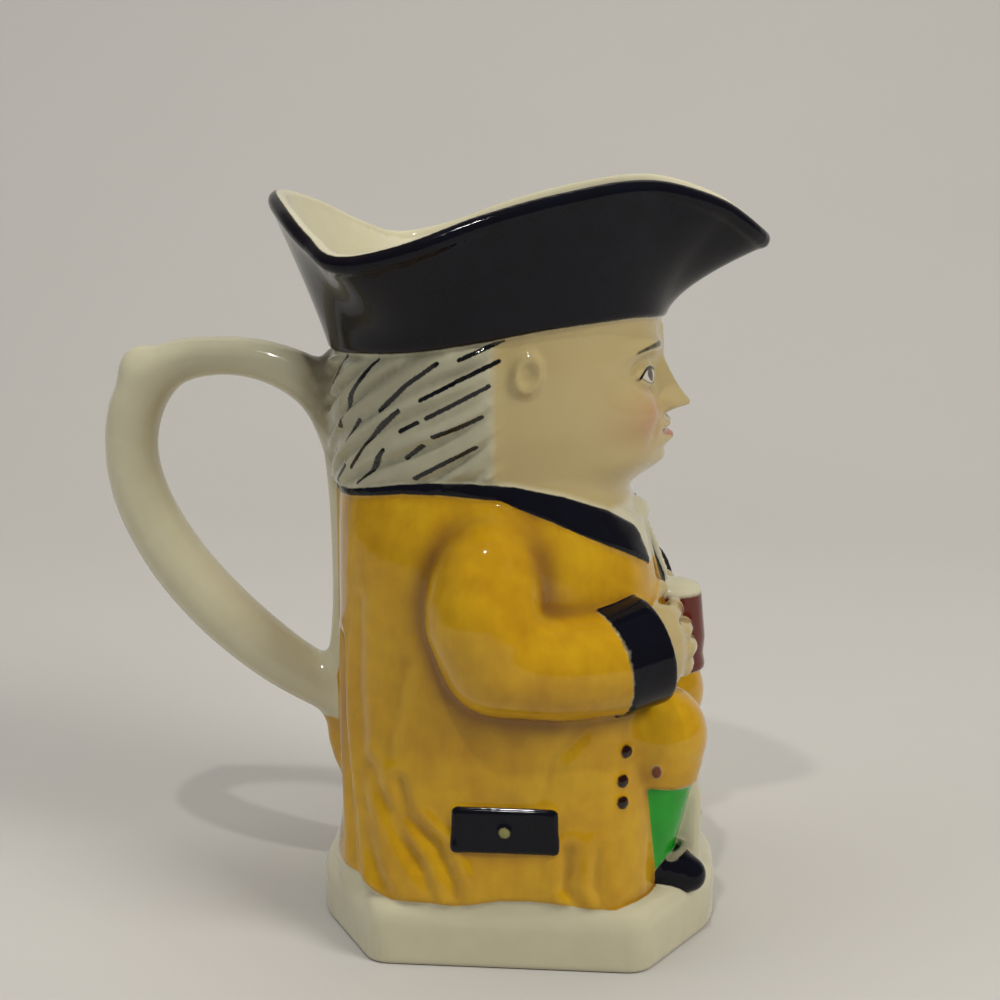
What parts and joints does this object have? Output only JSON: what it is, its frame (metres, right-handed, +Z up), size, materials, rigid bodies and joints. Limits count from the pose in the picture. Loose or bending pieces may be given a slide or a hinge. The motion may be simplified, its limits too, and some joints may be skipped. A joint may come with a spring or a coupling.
{
  "type": "toby jug",
  "caption": "Small glazed earthenware jug shaped as a seated figure in a three-cornered hat, with a pouring lip at the hat's front corner and a loop handle behind.",
  "frame": {"origin": "centre of the flat underside, on the standing surface", "axes": "+Z up; the figure faces -Y and the handle is at +Y; +X to the figure's left"},
  "size_m": [0.0834, 0.1323, 0.1492],
  "materials": {
    "glazed_earthenware": "glossy clear glaze over painted colour"
  },
  "bodies": {
    "root": {"toby_jug": "glazed_earthenware"}
  },
  "joints": []
}
